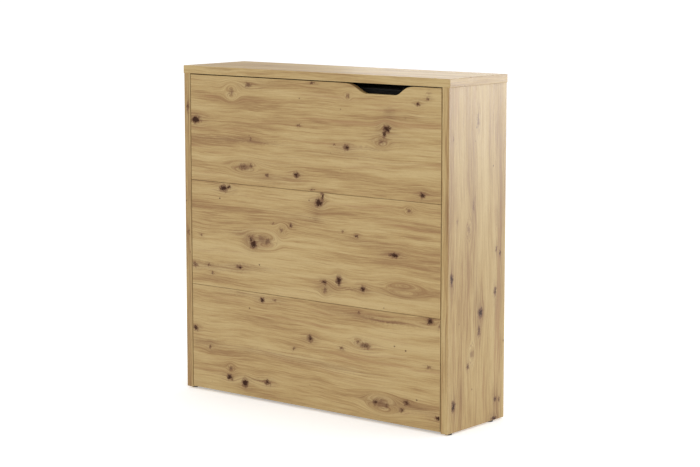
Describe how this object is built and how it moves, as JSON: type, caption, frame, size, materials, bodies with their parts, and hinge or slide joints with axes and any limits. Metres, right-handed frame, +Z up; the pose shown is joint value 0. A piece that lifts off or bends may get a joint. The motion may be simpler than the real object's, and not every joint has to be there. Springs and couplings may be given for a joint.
{
  "type": "murphy wall bed",
  "caption": "Guest bed that folds in half inside a shallow knotty-oak wall cabinet; the front rolls out on castors and the bed unfolds behind it.",
  "frame": {"origin": "on the floor, under the middle of the closed cabinet", "axes": "+X to the right seen from the front, +Y towards the wall, +Z up"},
  "size_m": [1.0654, 0.295, 1.063],
  "materials": {
    "oak_front": "matt oak laminate with knots, grain across",
    "oak_side": "matt oak laminate with knots, grain upright",
    "oak_top": "matt oak laminate, grain across",
    "oak_rail": "matt oak laminate, grain across",
    "hardboard": "smooth printed hardboard",
    "beech_dowel": "fluted beech",
    "birch_slat": "clear lacquered birch plywood",
    "holder_plastic": "moulded black plastic",
    "mattress_fabric": "dark grey woven ticking",
    "strap_webbing": "black woven webbing",
    "glide_plastic": "black plastic",
    "wheel_rubber": "grey soft rubber",
    "foot_rubber": "black rubber",
    "catch_plastic": "black plastic",
    "zinc_steel": "zinc plated steel",
    "frame_paint": "graphite powder coat"
  },
  "bodies": {
    "cabinet": {"side_panel_left": "oak_side", "side_panel_right": "oak_side", "top_panel": "oak_top", "back_panel": "hardboard", "upper_rear_rail": "oak_rail", "lower_rear_rail": "oak_rail", "glides": "glide_plastic", "dowels": "beech_dowel", "cam_bolts": "zinc_steel", "cam_locks": "zinc_steel", "pivot_bracket_left": "frame_paint", "pivot_bracket_right": "frame_paint", "bracket_screws": "zinc_steel", "catch_magnets": "catch_plastic"},
    "main_section": {"main_fold_end_rail": "frame_paint", "main_hinge_plates": "zinc_steel", "main_mattress": "mattress_fabric", "main_mattress_straps": "strap_webbing", "main_pivot_end_rail": "frame_paint", "main_pivot_plates": "frame_paint", "main_side_rail_left": "frame_paint", "main_side_rail_right": "frame_paint", "main_slat_holders": "holder_plastic", "main_slats": "birch_slat", "fold_rod": "zinc_steel"},
    "foot_section": {"foot_fold_end_rail": "frame_paint", "foot_hinge_plates": "zinc_steel", "foot_mattress": "mattress_fabric", "foot_mattress_straps": "strap_webbing", "foot_pivot_end_rail": "frame_paint", "foot_pivot_plates": "frame_paint", "foot_side_rail_left": "frame_paint", "foot_side_rail_right": "frame_paint", "foot_slat_holders": "holder_plastic", "foot_slats": "birch_slat"},
    "middle_leg": {"middle_leg_left": "frame_paint", "middle_leg_right": "frame_paint", "leg_cross_rail": "frame_paint", "leg_feet": "foot_rubber"},
    "front_trolley": {"front_board_top": "oak_front", "front_board_middle": "oak_front", "front_board_bottom": "oak_front", "front_post_left": "frame_paint", "front_post_right": "frame_paint", "board_screws": "zinc_steel", "seam_bars": "frame_paint", "strike_plates": "zinc_steel", "foot_arm_left": "frame_paint", "foot_arm_right": "frame_paint", "trolley_cross_rail": "frame_paint", "foot_pivot_bracket_left": "frame_paint", "foot_pivot_bracket_right": "frame_paint", "castor_forks": "zinc_steel", "castor_axles": "zinc_steel"},
    "castor_wheel_front_left": {"castor_wheel_front_left": "wheel_rubber"},
    "castor_wheel_front_right": {"castor_wheel_front_right": "wheel_rubber"},
    "castor_wheel_rear_left": {"castor_wheel_rear_left": "wheel_rubber"},
    "castor_wheel_rear_right": {"castor_wheel_rear_right": "wheel_rubber"}
  },
  "joints": [
    {"name": "main_fold", "type": "hinge", "parent": "cabinet", "child": "main_section", "pos_m": [0, 0.019, 0.13], "axis": [1, 0, 0], "range_deg": [0, 90]},
    {"name": "middle_fold", "type": "hinge", "parent": "main_section", "child": "foot_section", "pos_m": [0, -0.0055, 1.026], "axis": [1, 0, 0], "range_deg": [-180, 0]},
    {"name": "front_travel", "type": "hinge", "parent": "foot_section", "child": "front_trolley", "pos_m": [0, -0.03, 0.13], "axis": [1, 0, 0], "range_deg": [0, 90]},
    {"name": "leg_swing", "type": "hinge", "parent": "main_section", "child": "middle_leg", "pos_m": [0, -0.0055, 1.026], "axis": [1, 0, 0], "range_deg": [-90, 0]},
    {"name": "wheel_roll_front_left", "type": "hinge", "parent": "front_trolley", "child": "castor_wheel_front_left", "pos_m": [-0.488, -0.09, 0.015], "axis": [1, 0, 0], "continuous": true},
    {"name": "wheel_roll_front_right", "type": "hinge", "parent": "front_trolley", "child": "castor_wheel_front_right", "pos_m": [0.488, -0.09, 0.015], "axis": [1, 0, 0], "continuous": true},
    {"name": "wheel_roll_rear_left", "type": "hinge", "parent": "front_trolley", "child": "castor_wheel_rear_left", "pos_m": [-0.488, 0.088, 0.015], "axis": [1, 0, 0], "continuous": true},
    {"name": "wheel_roll_rear_right", "type": "hinge", "parent": "front_trolley", "child": "castor_wheel_rear_right", "pos_m": [0.488, 0.088, 0.015], "axis": [1, 0, 0], "continuous": true}
  ],
  "couplings": [
    {"joint": "middle_fold", "follows": "main_fold", "ratio": -2},
    {"joint": "front_travel", "follows": "main_fold", "ratio": 1},
    {"joint": "leg_swing", "follows": "main_fold", "ratio": -1},
    {"joint": "wheel_roll_front_right", "follows": "wheel_roll_front_left", "ratio": 1},
    {"joint": "wheel_roll_rear_left", "follows": "wheel_roll_front_left", "ratio": 1},
    {"joint": "wheel_roll_rear_right", "follows": "wheel_roll_front_left", "ratio": 1}
  ]
}
